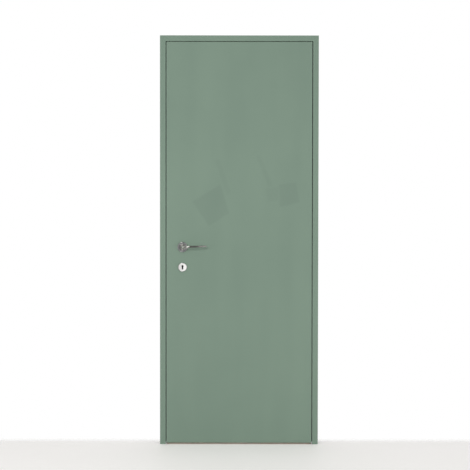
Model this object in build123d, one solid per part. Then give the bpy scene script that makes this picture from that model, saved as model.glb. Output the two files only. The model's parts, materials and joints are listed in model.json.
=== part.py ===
from build123d import *
import os
from math import atan2, cos, degrees, hypot, radians, sin

os.makedirs("parts", exist_ok=True)

# Flush hinged door with its frame, in millimetres. X runs to the right, Y into the wall, Z up.
# The origin is at floor level, in the middle of the leaf's width and of its thickness.

# Leaf
leaf_width = 762.0
leaf_height = 2098.0
leaf_thickness = 48.0
skin_thickness = 4.0
stile_width = 45.0
rail_height = 60.0
edge_softening = 0.6
core_bore_radius = 14.0
core_bore_pitch = 34.0
side_gap = 3.0
head_gap = 3.0
floor_gap = 8.0

# Frame profile, an aluminium extrusion, and the stop strip whose tongue is pressed into it
profile_width = 30.0
profile_face_wall = 3.0
profile_wall = 2.5
stop_projection = 9.0
stop_depth = 14.0
stop_web = 3.0
tongue_width = 4.0
tongue_depth = 1.5
tongue_undercut = 0.4
seal_room = 4.0
seal_groove_width = 3.0
seal_groove_depth = 4.0
seal_clearance = 0.3
seal_head_width = 7.0
seal_skin = 1.0
plaster_key_width = 3.0
plaster_key_depth = 1.0
plaster_key_pitch = 9.0
lip_radius = 0.6
cleat_thickness = 5.0
cleat_width = 30.0
cleat_leg = 80.0

# Holes in each jamb for the screws that hold the frame in the wall, as shares of the way from one
# hinge up to the next
fixing_radius = 4.0
fixing_shares = (0.28, 0.72)
fixing_depth = 24.0

# Concealed hinge, the same three times. Its arms turn the leaf about a line in front of the gap.
bottom_hinge_above_floor = 230.0
top_hinge_below_leaf_top = 206.0
hinge_names = ("bottom", "middle", "top")
swing_line_ahead = 3.0
arm_pivot_side = 6.5
arm_pivot_back = 14.0
short_arm_side = 2.8
short_arm_back = 7.0
arm_bow_side = 10.4
arm_bow_back = 8.8
arm_layer = 14.0
arm_side_play = 0.2
arm_half_width = 3.3
pivot_boss_radius = 4.5
centre_boss_radius = 5.0
end_boss_radius = 3.6
hinge_pin_radius = 2.5
pin_press = 0.02
pin_running = 0.05
pin_hold = 5.0
hinge_flange = 3.0
hinge_body_wall = 3.0
hinge_edge_margin = 4.0
pocket_wall = 2.0
arm_room = 0.7
hinge_end_wall = 8.0
hinge_land = 31.0
backing_plate = 3.0
backing_overhang = 18.0
mortise_room = 0.2

# Countersunk screws
screw_radius = 2.1
screw_head_radius = 4.2
screw_head_height = 2.2
screw_length = 22.0
screw_room = 0.02
screw_cross_span = 5.0
screw_cross_width = 1.0
screw_cross_depth = 1.0

# Lever handle and key, placed from the leaf's closing edge and the floor
backset = 85.0
lever_height = 1035.0
lever_to_key = 105.0
spindle_side = 8.0
spindle_room = 0.1
rose_radius = 26.5
rose_height = 9.0
rose_wall = 1.5
rose_round = 2.0
neck_radius = 9.0
neck_room = 0.4
collar_height = 3.0
shank_radius = 7.5
lever_reach = 127.0
lever_stand_off = 58.0
lever_bend = 32.0
lever_lift = 3.0
lever_rise = 6.0
lever_return = 6.0
lever_root_height = 12.5
lever_tip_height = 9.0
lever_root_depth = 13.0
lever_tip_depth = 8.5
lever_tip_stations = ((0.93, 1.0), (0.975, 0.85), (1.0, 0.45))
lever_socket = 27.0
grub_radius = 2.5
grub_above_collar = 1.5
grub_sink = 0.5
escutcheon_radius = 23.0
escutcheon_height = 8.0
keyhole_radius = 4.2
keyhole_slot = 5.2
keyhole_height = 20.0
spindle_hole_radius = 11.0

# Lock
lock_thickness = 14.0
lock_wall = 1.5
lock_depth = 105.0
lock_above_lever = 50.0
lock_below_key = 35.0
faceplate_thickness = 3.0
faceplate_width = 22.0
faceplate_overhang = 27.0
bolt_play = 0.3
bolt_set_back = 0.5
latch_above_lever = 18.0
latch_height = 32.0
latch_length = 42.0
latch_tail_length = 25.0
latch_tail_height = 8.0
latch_throw = 9.0
latch_nose = 3.0
deadbolt_below_lever = 55.0
deadbolt_height = 30.0
deadbolt_length = 48.0
deadbolt_tail_length = 19.0
deadbolt_edge = 1.0
deadbolt_notch_width = 11.0
deadbolt_notch_height = 6.0
deadbolt_notch_from_end = 11.0
deadbolt_throw = 14.0
follower_radius = 13.0
follower_hub_radius = 8.0
lock_block_width = 90.0
lock_block_margin = 80.0

# Strike in the closing jamb
strike_height = 190.0
strike_box_wall = 1.5
strike_box_flange = 2.0
strike_flange_overhang = 8.0
strike_room = 2.0
strike_box_room = 4.0
magnet_gap = 3.5
magnet_width = 10.0
magnet_height = 20.0

# What follows from these sizes
half_leaf = leaf_width / 2
half_thick = leaf_thickness / 2
leaf_bottom = floor_gap
leaf_top = leaf_bottom + leaf_height
jamb_face = half_leaf + side_gap
head_face = leaf_top + head_gap
stop_front = leaf_thickness + seal_room
profile_depth = stop_front + stop_depth
top_hinge = leaf_top - top_hinge_below_leaf_top
middle_hinge = (bottom_hinge_above_floor + top_hinge) / 2
hinge_heights = (bottom_hinge_above_floor, middle_hinge, top_hinge)
hinge_spacing = middle_hinge - bottom_hinge_above_floor
fixing_heights = [z + share * hinge_spacing for z in hinge_heights[:2] for share in fixing_shares]
hinge_x = half_leaf + side_gap / 2
lever_x = backset - half_leaf
key_height = lever_height - lever_to_key
latch_z = lever_height + latch_above_lever
deadbolt_z = lever_height - deadbolt_below_lever
lock_top = lever_height + lock_above_lever
lock_bottom = key_height - lock_below_key
strike_z = (latch_z + deadbolt_z) / 2
strike_depth = deadbolt_throw - side_gap + strike_box_room
latch_reach = latch_throw - bolt_set_back - side_gap


def depth(behind_front):
    """Y of a point a distance behind the leaf's front face."""
    return behind_front - half_thick


def block(x, y, z):
    """A box between the given pairs of X, Y and Z."""
    size = (abs(x[1] - x[0]), abs(y[1] - y[0]), abs(z[1] - z[0]))
    return Pos(min(x), min(y), min(z)) * Box(*size, align=(Align.MIN,) * 3)


def rod_x(y, z, radius, x):
    """A round bar along X."""
    bar = Cylinder(radius, abs(x[1] - x[0]), align=(Align.CENTER, Align.CENTER, Align.MIN))
    return Pos(min(x), y, z) * Rot(0, 90, 0) * bar


def rod_y(x, z, radius, y):
    """A round bar along Y."""
    bar = Cylinder(radius, abs(y[1] - y[0]), align=(Align.CENTER, Align.CENTER, Align.MIN))
    return Pos(x, min(y), z) * Rot(-90, 0, 0) * bar


def rod_z(x, y, radius, z):
    """A round bar along Z."""
    bar = Cylinder(radius, abs(z[1] - z[0]), align=(Align.CENTER, Align.CENTER, Align.MIN))
    return Pos(x, y, min(z)) * bar


def save(name, *solids):
    """Write one sub-part, which may be a group of like solids."""
    pieces = []
    for piece in solids:
        pieces.extend(piece.solids())
    shape = pieces[0] if len(pieces) == 1 else Compound(children=pieces)
    export_step(shape, f"parts/{name}.step")


def stadium_x(centre_y, centre_z, width, height, x):
    """A plate with half-round top and bottom, seen along X."""
    plane = Plane(origin=(min(x), centre_y, centre_z), x_dir=(0, 0, 1), z_dir=(1, 0, 0))
    outline = plane * SlotOverall(height, width)
    return extrude(outline, abs(x[1] - x[0]), dir=(1, 0, 0))


def screw_x(y, z, face_x, inward):
    """A countersunk screw whose head is flush at face_x and whose tip points inward, +1 or -1."""
    head = Pos(0, 0, screw_head_height / 2) * Cone(screw_head_radius, screw_radius, screw_head_height)
    shank = rod_z(0, 0, screw_radius, (screw_head_height, screw_length))
    cross = Box(screw_cross_span, screw_cross_width, 2 * screw_cross_depth)
    cross += Box(screw_cross_width, screw_cross_span, 2 * screw_cross_depth)
    return Pos(face_x, y, z) * Rot(0, 90 * inward, 0) * (head + shank - cross)


def screw_hole_x(y, z, face_x, inward):
    """The room for one screw, a hair wider than the screw."""
    head = Cone(screw_head_radius + screw_room, screw_radius + screw_room, screw_head_height)
    hole = rod_z(0, 0, screw_radius + screw_room, (0, screw_length + 1))
    return Pos(face_x, y, z) * Rot(0, 90 * inward, 0) * (Pos(0, 0, screw_head_height / 2) * head + hole)


# Frame


def chamber(side_0, side_1, back_0, back_1):
    """A rectangle in a section, between two sides and two depths."""
    middle = ((side_0 + side_1) / 2, depth((back_0 + back_1) / 2))
    return Pos(*middle) * Rectangle(side_1 - side_0, back_1 - back_0)


def tongue():
    """The dovetailed tongue that holds the stop strip in the frame's face."""
    middle = stop_front + stop_depth / 2
    mouth = tongue_width / 2 - tongue_undercut
    points = [
        (-lip_radius, depth(middle - mouth)),
        (0, depth(middle - mouth)),
        (tongue_depth, depth(middle - tongue_width / 2)),
        (tongue_depth, depth(middle + tongue_width / 2)),
        (0, depth(middle + mouth)),
        (-lip_radius, depth(middle + mouth)),
    ]
    return make_face(Polyline(*points, close=True))


def profile():
    """Section of the frame. Local x runs away from the opening, local y into the wall."""
    width, wall, back = profile_width, profile_wall, profile_depth
    section = chamber(0, width, 0, back)
    lip = section.vertices().sort_by_distance((0, depth(0), 0))[0]
    section = fillet(lip, lip_radius)
    main = chamber(profile_face_wall, width - wall, wall, stop_front - wall)
    rear = chamber(profile_face_wall, width - wall, stop_front, back - wall)
    section = section - main - rear - tongue()
    keys = int((back - 2 * plaster_key_pitch) // plaster_key_pitch) + 1
    for index in range(keys):
        place = depth(plaster_key_pitch * (index + 1))
        section -= Pos(width, place) * Rectangle(2 * plaster_key_depth, plaster_key_width)
    return section


def stop_section():
    """Section of the stop strip: a hollow bar with the seal's groove and the tongue."""
    bar = chamber(-stop_projection, 0, stop_front, profile_depth)
    corner = bar.vertices().sort_by_distance((-stop_projection, depth(profile_depth), 0))[0]
    bar = fillet(corner, lip_radius)
    groove_side = -stop_projection / 2 - seal_groove_width / 2
    groove_back = stop_front + seal_groove_depth
    groove = chamber(groove_side, groove_side + seal_groove_width, stop_front, groove_back)
    hollow_sides = (-stop_projection + profile_wall, -profile_wall)
    hollow = chamber(*hollow_sides, groove_back + stop_web, profile_depth - profile_wall)
    return bar + tongue() - groove - hollow


def upright(section):
    """A section extruded up the hinge side, from the floor to the mitre under the head."""
    bar = Pos(jamb_face, 0, 0) * extrude(section, head_face + profile_width, dir=(0, 0, 1))
    return bar - mitre_side()


def crosspiece(section):
    """The same section extruded along the head, mitred at both ends."""
    reach = jamb_face + profile_width
    plane = Plane(origin=(reach, 0, head_face), x_dir=(0, 0, 1), z_dir=(-1, 0, 0))
    bar = extrude(plane * section, 2 * reach, dir=(-1, 0, 0))
    below = Polyline(
        (jamb_face - stop_projection - 1, head_face - stop_projection - 1),
        (reach + 1, head_face + profile_width + 1),
        (reach + 1, head_face - stop_projection - 1),
        close=True,
    )
    wedge = extrude(Plane.XZ * make_face(below), profile_depth * 2, both=True)
    return bar - wedge - mirror(wedge, about=Plane.YZ)


def mitre_side():
    """All that lies above the mitre plane at the hinge-side corner."""
    low, high = -stop_projection - 1, profile_width + 1
    above = Polyline(
        (jamb_face + low, head_face + low),
        (jamb_face + high, head_face + high),
        (jamb_face + low, head_face + high),
        close=True,
    )
    return extrude(Plane.XZ * make_face(above), profile_depth * 2, both=True)


def fixing_holes():
    """Holes along X through both walls of the hinge-side jamb."""
    span = (jamb_face - 1, jamb_face + profile_width + 1)
    return [rod_x(depth(fixing_depth), z, fixing_radius, span) for z in fixing_heights]


def frame_bars():
    """Both jambs and the head, with the cut-outs for hinges and strike."""
    jamb = upright(profile()) - fixing_holes()
    hinge_jamb = jamb
    wall = (jamb_face - 1, jamb_face + profile_face_wall + 1)
    for z in hinge_heights:
        hinge_jamb -= stadium_x(0, z, hinge_width(), hinge_flange_height(), wall)
        hinge_jamb -= flange_screws(z, 1, screw_hole_x)
    cut_size = (faceplate_width + 2 * mortise_room, strike_height + 2 * mortise_room)
    lock_jamb = mirror(jamb - stadium_x(0, strike_z, *cut_size, wall), about=Plane.YZ)
    save("jamb_hinge_side", hinge_jamb)
    save("jamb_lock_side", lock_jamb)
    save("frame_head", crosspiece(profile()))


def stops():
    """The stop strip along each jamb and along the head."""
    hinge_side = upright(stop_section())
    save("stop_hinge_side", hinge_side)
    save("stop_lock_side", mirror(hinge_side, about=Plane.YZ))
    save("stop_head", crosspiece(stop_section()))


def corner_cleat():
    """An angle inside the hinge-side corner that joins the jamb to the head."""
    side = jamb_face + profile_width - profile_wall
    top = head_face + profile_width - profile_wall
    across = (depth(half_thick - cleat_width / 2), depth(half_thick + cleat_width / 2))
    leg = block((side - cleat_thickness, side), across, (top - cleat_leg, top))
    arm = block((side - cleat_leg, side), across, (top - cleat_thickness, top))
    return leg + arm


def seal_section():
    """The stop's seal: a foot in the groove and a hollow lip towards the leaf."""
    middle = -stop_projection / 2
    head_depth = seal_room - seal_clearance
    foot = chamber(
        middle - seal_groove_width / 2, middle + seal_groove_width / 2,
        stop_front - seal_skin, stop_front + seal_groove_depth - seal_clearance,
    )
    base = Pos(middle, depth(stop_front - head_depth / 2))
    outer = base * RectangleRounded(seal_head_width, head_depth, head_depth / 2 - 0.05)
    hollow = (seal_head_width - 2 * seal_skin, head_depth - 2 * seal_skin)
    inner = base * RectangleRounded(*hollow, hollow[1] / 2 - 0.05)
    return outer + foot - inner


def seals():
    """The seal along the stop of each jamb and of the head."""
    clear_floor = block((0, jamb_face * 2), (-100, 100), (-1, seal_skin))
    hinge_side = upright(seal_section()) - clear_floor
    save("seal_hinge_side", hinge_side)
    save("seal_lock_side", mirror(hinge_side, about=Plane.YZ))
    save("seal_head", crosspiece(seal_section()))


# Hinges. Positions in plan are (side, back): side from the middle of the gap towards the frame,
# back from the leaf's front face. The leaf's parts are the frame's, turned half round about a
# line along Y through the hinge's middle.

frame_pivot = (arm_pivot_side, arm_pivot_back - swing_line_ahead)
centre_pivot = (0.0, 2 * arm_pivot_back - swing_line_ahead)
frame_short_pivot = (frame_pivot[0] + short_arm_side, frame_pivot[1] + short_arm_back)
leaf_arm_end = (centre_pivot[0] + short_arm_side, centre_pivot[1] + short_arm_back)
frame_arm_end = (centre_pivot[0] - short_arm_side, leaf_arm_end[1])
arm_bow = (arm_bow_side, frame_pivot[1] + arm_bow_back)
pocket_side = arm_bow_side + arm_half_width + arm_room
pocket_front = hinge_edge_margin + pocket_wall
pocket_back = leaf_arm_end[1] + end_boss_radius + arm_room
hinge_body_side = pocket_side + hinge_body_wall


def hinge_width():
    """Width of the hinge flange across the leaf's edge."""
    return leaf_thickness - 2 * hinge_edge_margin


def hinge_body_height():
    """Height of the hinge body: four layers of arms and an end wall above and below."""
    return 4 * arm_layer + 2 * hinge_end_wall


def hinge_flange_height():
    """Height of the hinge flange with its screw lands."""
    return hinge_body_height() + 2 * hinge_land


def layer(index, play=0.0):
    """Z of a layer of arms, 0 to 3 from below, from the hinge's middle."""
    return ((index - 2) * arm_layer + play, (index - 1) * arm_layer - play)


def plan(point):
    """A plan position as X and Y, with X from the middle of the gap."""
    return (point[0], depth(point[1]))


def arm_outline(points, radii):
    """A flat arm through the points, with a round boss at each."""
    outline = Pos(*plan(points[0])) * Circle(radii[0])
    for start, end, radius in zip(points, points[1:], radii[1:]):
        (x_0, y_0), (x_1, y_1) = plan(start), plan(end)
        angle = degrees(atan2(y_1 - y_0, x_1 - x_0))
        middle = Pos((x_0 + x_1) / 2, (y_0 + y_1) / 2)
        length = hypot(x_1 - x_0, y_1 - y_0)
        outline += middle * SlotCenterToCenter(length, 2 * arm_half_width, rotation=angle)
        outline += Pos(x_1, y_1) * Circle(radius)
    return outline


def pivot_bore(point, radius):
    """A bore along Z through all the layers."""
    reach = hinge_body_height()
    return rod_z(*plan(point), radius, (-reach, reach))


def long_arm():
    """From the frame's pivot round the frame's edge to the centre pin, and on to the end pin."""
    points = (frame_pivot, arm_bow, centre_pivot, frame_arm_end)
    radii = (pivot_boss_radius, arm_half_width, centre_boss_radius, end_boss_radius)
    low, high = layer(1, arm_side_play)
    arm = Pos(0, 0, low) * extrude(arm_outline(points, radii), high - low, dir=(0, 0, 1))
    arm -= pivot_bore(frame_pivot, hinge_pin_radius + pin_running)
    return arm


def short_arm():
    """Parallel to the long arm, from the frame's second pivot to the end of the leaf's long arm."""
    points = (frame_short_pivot, leaf_arm_end)
    low, high = layer(3, arm_side_play)
    outline = arm_outline(points, (end_boss_radius, end_boss_radius))
    arm = Pos(0, 0, low) * extrude(outline, high - low, dir=(0, 0, 1))
    arm -= pivot_bore(frame_short_pivot, hinge_pin_radius + pin_running)
    return arm - pivot_bore(leaf_arm_end, hinge_pin_radius + pin_running)


def hinge_body():
    """The frame's half: a flange with round ends and a body with pockets for the arms."""
    face = side_gap / 2
    flange_span = (face, face + hinge_flange)
    body = stadium_x(0, 0, hinge_width(), hinge_flange_height(), flange_span)
    half_height = hinge_body_height() / 2
    across = (depth(hinge_edge_margin), depth(leaf_thickness - hinge_edge_margin))
    body += block((face, hinge_body_side), across, (-half_height, half_height))
    for index in (1, 3):
        pocket = block((0, pocket_side), (depth(pocket_front), depth(pocket_back)), layer(index))
        body -= pocket
    boss_side = leaf_arm_end[0] + end_boss_radius + arm_room
    boss_front = centre_pivot[1] - centre_boss_radius - arm_room
    body -= block((0, boss_side), (depth(boss_front), depth(pocket_back)), layer(2))
    long_span, short_span = frame_pin_spans()
    body -= rod_z(*plan(frame_pivot), hinge_pin_radius + pin_press, long_span)
    body -= rod_z(*plan(frame_short_pivot), hinge_pin_radius + pin_press, short_span)
    body -= flange_screws(0, 1, screw_hole_x, -hinge_x)
    return body


def frame_pin_spans():
    """Z spans of the two pins that the frame's half holds, the long arm's and the short arm's."""
    return [(layer(index)[0] - pin_hold, layer(index)[1] + pin_hold) for index in (1, 3)]


def frame_pins():
    """The two pins in the frame's half."""
    long_span, short_span = frame_pin_spans()
    return [
        rod_z(*plan(frame_pivot), hinge_pin_radius, long_span),
        rod_z(*plan(frame_short_pivot), hinge_pin_radius, short_span),
    ]


def flange_screws(z, side, make, shift=0.0):
    """Four screws through one flange, or their holes. Side is +1 in the frame, -1 in the leaf."""
    face_x = shift + hinge_x + side * side_gap / 2
    up = hinge_body_height() / 2 + hinge_land / 2
    across = hinge_width() / 4
    places = [(y, dz) for dz in (-up, up) for y in (-across, across)]
    return [make(y, z + dz, face_x, side) for y, dz in places]


def half_turned(piece):
    """A piece of the frame's half turned into the matching piece of the leaf's half."""
    return Rot(0, 180, 0) * piece


def backing_plates(z):
    """Two steel plates behind the jamb's face that take one hinge's screws."""
    span = (jamb_face + profile_face_wall, jamb_face + profile_face_wall + backing_plate)
    low = hinge_body_height() / 2 + mortise_room
    high = hinge_flange_height() / 2 + backing_overhang
    across = (depth(profile_wall), depth(stop_front - profile_wall))
    holes = flange_screws(z, 1, screw_hole_x)
    upper = block(span, across, (z + low, z + high)) - holes
    lower = block(span, across, (z - high, z - low)) - holes
    return [upper, lower]


def hinges():
    """Three hinges, each with two bodies, four arms and seven pins."""
    body, arm, link = hinge_body(), long_arm(), short_arm()
    centre_pin_span = (layer(1)[0] + arm_side_play, layer(2)[1] - arm_side_play)
    centre_pin = rod_z(*plan(centre_pivot), hinge_pin_radius, centre_pin_span)
    frame_end_span = (layer(0)[0] + arm_side_play, layer(1)[1] - arm_side_play)
    frame_end_pin = rod_z(*plan(frame_arm_end), hinge_pin_radius, frame_end_span)
    held = hinge_pin_radius + pin_press
    running = hinge_pin_radius + pin_running
    frame_arm = arm - pivot_bore(centre_pivot, held) - pivot_bore(frame_arm_end, held)
    leaf_arm = half_turned(arm - pivot_bore(centre_pivot, running) - pivot_bore(frame_arm_end, held))
    for name, z in zip(hinge_names, hinge_heights):
        place = Pos(hinge_x, 0, z)
        save(f"hinge_frame_body_{name}", place * body)
        save(f"hinge_leaf_body_{name}", place * half_turned(body))
        save(f"frame_long_arm_{name}", place * frame_arm)
        save(f"leaf_long_arm_{name}", place * leaf_arm)
    places = [Pos(hinge_x, 0, z) for z in hinge_heights]
    save("frame_short_arms", *[place * link for place in places])
    save("leaf_short_arms", *[place * half_turned(link) for place in places])
    save("hinge_frame_pins", *[place * pin for place in places for pin in frame_pins()])
    save("hinge_leaf_pins", *[place * half_turned(pin) for place in places for pin in frame_pins()])
    save("frame_arm_pins", *[place * pin for place in places for pin in (centre_pin, frame_end_pin)])
    save("leaf_arm_pins", *[place * half_turned(frame_end_pin) for place in places])
    save("hinge_frame_screws", *[s for z in hinge_heights for s in flange_screws(z, 1, screw_x)])
    save("hinge_leaf_screws", *[s for z in hinge_heights for s in flange_screws(z, -1, screw_x)])
    save("hinge_backing_plates", *[plate for z in hinge_heights for plate in backing_plates(z)])


# Leaf


def keyhole(y, room=0.0):
    """The keyhole as a solid along Y: a round top and a straight slot below it."""
    top = key_height + keyhole_height / 2 - keyhole_radius
    bottom = key_height - keyhole_height / 2
    slot = (lever_x - keyhole_slot / 2 - room, lever_x + keyhole_slot / 2 + room)
    return rod_y(lever_x, top, keyhole_radius + room, y) + block(slot, y, (bottom - room, top))


def handle_holes(y):
    """What is cut out of wood and skins for the spindle and the key."""
    return [rod_y(lever_x, lever_height, spindle_hole_radius, y), keyhole(y, mortise_room)]


def skin(front):
    """One face board of the leaf, with its edges eased and the holes for lever and key."""
    outer = depth(0) if front else depth(leaf_thickness)
    inner = outer + skin_thickness if front else outer - skin_thickness
    board = block((-half_leaf, half_leaf), (outer, inner), (leaf_bottom, leaf_top))
    face = board.faces().sort_by(Axis.Y)[0 if front else -1]
    board = chamfer(face.edges(), edge_softening)
    return board - handle_holes((outer - 1, inner + 1) if front else (inner - 1, outer + 1))


def hinge_mortises():
    """Room in the hinge stile for the three leaf bodies, with the flanges let in flush."""
    cuts = []
    edge = half_leaf
    across = hinge_width() / 2 + mortise_room
    for z in hinge_heights:
        flange_span = (edge - hinge_flange, edge + 1)
        height = hinge_flange_height() + 2 * mortise_room
        cuts.append(stadium_x(0, z, 2 * across, height, flange_span))
        half_height = hinge_body_height() / 2 + mortise_room
        deep = hinge_x - hinge_body_side - mortise_room
        cuts.append(block((deep, edge + 1), (-across, across), (z - half_height, z + half_height)))
        cuts.extend(flange_screws(z, -1, screw_hole_x))
    return cuts


def lock_mortise():
    """Room for the lock case and its faceplate in the closing edge."""
    edge = -half_leaf
    across = lock_thickness / 2 + mortise_room
    case_span = (edge - 1, edge + faceplate_thickness + lock_depth + mortise_room)
    case = block(case_span, (-across, across), (lock_bottom - mortise_room, lock_top + mortise_room))
    height = faceplate_height() + 2 * mortise_room
    plate_span = (edge - 1, edge + faceplate_thickness)
    plate = stadium_x(0, lock_middle(), faceplate_width + 2 * mortise_room, height, plate_span)
    return [case, plate, *faceplate_screws(screw_hole_x)]


def leaf_wood():
    """Stiles, rails, lock block and core between the two skins."""
    inside = (depth(skin_thickness), depth(leaf_thickness - skin_thickness))
    hinge_span = (half_leaf - stile_width, half_leaf)
    lock_span = (-half_leaf, -half_leaf + stile_width)
    rails = (lock_span[1], hinge_span[0])
    whole = (leaf_bottom, leaf_top)
    save("hinge_stile", block(hinge_span, inside, whole) - hinge_mortises())
    save("lock_stile", block(lock_span, inside, whole) - lock_mortise())
    save("top_rail", block(rails, inside, (leaf_top - rail_height, leaf_top)))
    save("bottom_rail", block(rails, inside, (leaf_bottom, leaf_bottom + rail_height)))
    block_span = (lock_span[1], lock_span[1] + lock_block_width)
    block_heights = (lock_bottom - lock_block_margin, lock_top + lock_block_margin)
    lock_block = block(block_span, inside, block_heights)
    save("lock_block", lock_block - lock_mortise() - handle_holes(inside))
    core_heights = (leaf_bottom + rail_height, leaf_top - rail_height)
    core = block(rails, inside, core_heights) - lock_block
    count = int((rails[1] - rails[0]) // core_bore_pitch)
    first = -(count - 1) / 2 * core_bore_pitch
    bores = [rod_z(first + i * core_bore_pitch, 0, core_bore_radius, core_heights) for i in range(count)]
    save("core_panel", core - bores)


# Lock


def lock_middle():
    """Height of the lock case's middle."""
    return (lock_top + lock_bottom) / 2


def faceplate_height():
    """Height of the faceplate, which runs past the case at both ends."""
    return lock_top - lock_bottom + 2 * faceplate_overhang


def faceplate_screws(make):
    """The two screws of the faceplate, or their holes."""
    reach = faceplate_height() / 2 - faceplate_overhang / 2
    return [make(0, lock_middle() + dz, -half_leaf, 1) for dz in (-reach, reach)]


def bolt_openings(x, room):
    """Rectangular holes that the latch bolt and the deadbolt pass through."""
    half = lock_thickness / 2 - lock_wall - bolt_play + room
    latch = (latch_z - latch_height / 2 - room, latch_z + latch_height / 2 + room)
    dead = (deadbolt_z - deadbolt_height / 2 - room, deadbolt_z + deadbolt_height / 2 + room)
    return [block(x, (-half, half), latch), block(x, (-half, half), dead)]


def lock_bodies():
    """Case, cover and faceplate of the mortise lock."""
    front = -half_leaf + faceplate_thickness
    case_span = (front, front + lock_depth)
    half = lock_thickness / 2
    heights = (lock_bottom, lock_top)
    case = block(case_span, (-half + lock_wall, half), heights)
    inside_x = (case_span[0] + lock_wall, case_span[1] - lock_wall)
    inside_z = (heights[0] + lock_wall, heights[1] - lock_wall)
    case -= block(inside_x, (-half + lock_wall, half - lock_wall), inside_z)
    case -= bolt_openings((front - 1, front + lock_wall + 1), bolt_play)
    cover = block(case_span, (-half, -half + lock_wall), heights)
    hub = rod_y(lever_x, lever_height, follower_hub_radius + pin_running, (-half - 1, half + 1))
    key = keyhole((-half - 1, half + 1))
    save("lock_case", case - hub - key)
    save("lock_cover", cover - hub - key)
    plate_span = (-half_leaf, front)
    plate = stadium_x(0, lock_middle(), faceplate_width, faceplate_height(), plate_span)
    plate -= bolt_openings((-half_leaf - 1, front + 1), bolt_play)
    save("lock_faceplate", plate - faceplate_screws(screw_hole_x))
    save("faceplate_screws", *faceplate_screws(screw_x))


def latch_bolt():
    """The magnetic latch bolt, drawn back, with a rounded nose and a tail that guides it."""
    half = lock_thickness / 2 - lock_wall - bolt_play
    front = -half_leaf + bolt_set_back
    heights = (latch_z - latch_height / 2, latch_z + latch_height / 2)
    bolt = block((front, front + latch_length), (-half, half), heights)
    nose = bolt.faces().sort_by(Axis.X)[0].edges().filter_by(Axis.Z)
    bolt = fillet(nose, latch_nose)
    tail_start = front + latch_length
    tail = block(
        (tail_start, tail_start + latch_tail_length), (-half / 2, half / 2),
        (latch_z, latch_z + latch_tail_height),
    )
    save("latch_bolt", bolt + tail)


def deadbolt():
    """The key-driven bolt, drawn back, with the notch that the key's bit pushes."""
    half = lock_thickness / 2 - lock_wall - bolt_play
    front = -half_leaf + bolt_set_back
    heights = (deadbolt_z - deadbolt_height / 2, deadbolt_z + deadbolt_height / 2)
    tail_start = front + deadbolt_length
    bolt = block((front, tail_start), (-half, half), heights)
    bolt = chamfer(bolt.faces().sort_by(Axis.X)[0].edges(), deadbolt_edge)
    tail_end = tail_start + deadbolt_tail_length
    tail = block((tail_start, tail_end), (-half / 2, half / 2), (heights[0], deadbolt_z))
    notch_end = tail_end - deadbolt_notch_from_end
    notch_x = (notch_end - deadbolt_notch_width, notch_end)
    notch = block(notch_x, (-half, half), (heights[0] - 1, heights[0] + deadbolt_notch_height))
    save("deadbolt", bolt + tail - notch)


def follower():
    """The hub that the spindle turns, with its bearings in case and cover."""
    half = lock_thickness / 2
    inner = half - lock_wall - bolt_play
    hub = rod_y(lever_x, lever_height, follower_radius, (-inner, inner))
    hub += rod_y(lever_x, lever_height, follower_hub_radius, (-half, half))
    side = spindle_side + 2 * spindle_room
    square = block(
        (lever_x - side / 2, lever_x + side / 2), (-half - 1, half + 1),
        (lever_height - side / 2, lever_height + side / 2),
    )
    save("latch_follower", hub - square)


def strike():
    """Strike plate, the box behind it, its magnet and its screws."""
    face = -jamb_face
    back = face - profile_face_wall
    plate = stadium_x(0, strike_z, faceplate_width, strike_height, (back, face))
    room = bolt_play + strike_room
    plate -= bolt_openings((back - 1, face + 1), room)
    reach = strike_height / 2 - faceplate_width / 2
    places = [strike_z - reach, strike_z + reach]
    plate -= [screw_hole_x(0, z, face, -1) for z in places]
    save("strike_plate", plate)
    save("strike_screws", *[screw_x(0, z, face, -1) for z in places])
    wide = faceplate_width / 2 + strike_flange_overhang
    tall = strike_height / 2 + strike_flange_overhang
    flange_back = back - strike_box_flange
    box = block((flange_back, back), (-wide, wide), (strike_z - tall, strike_z + tall))
    inner_y = lock_thickness / 2 + strike_room
    low = deadbolt_z - deadbolt_height / 2 - strike_box_room
    high = latch_z + latch_height / 2 + strike_box_room
    floor_x = face - strike_depth
    wall = strike_box_wall
    box += block((floor_x - wall, back), (-inner_y - wall, inner_y + wall), (low - wall, high + wall))
    box -= block((floor_x, back + 1), (-inner_y, inner_y), (low, high))
    box -= [screw_hole_x(0, z, face, -1) for z in places]
    save("strike_box", box)
    magnet_span = (floor_x, face - latch_reach - magnet_gap)
    across = (-magnet_width / 2, magnet_width / 2)
    heights = (latch_z - magnet_height / 2, latch_z + magnet_height / 2)
    save("strike_magnet", block(magnet_span, across, heights))


# Handle


def lever_section(x, y, z, heading, height, width):
    """An oval section of the lever at a point, square to a heading in plan (0 is away from the leaf)."""
    turn = radians(heading)
    forward = (sin(turn), -cos(turn), 0)
    plane = Plane(origin=(x, y, z), x_dir=(0, 0, 1), z_dir=forward)
    return plane * Ellipse(height / 2, width / 2)


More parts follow.
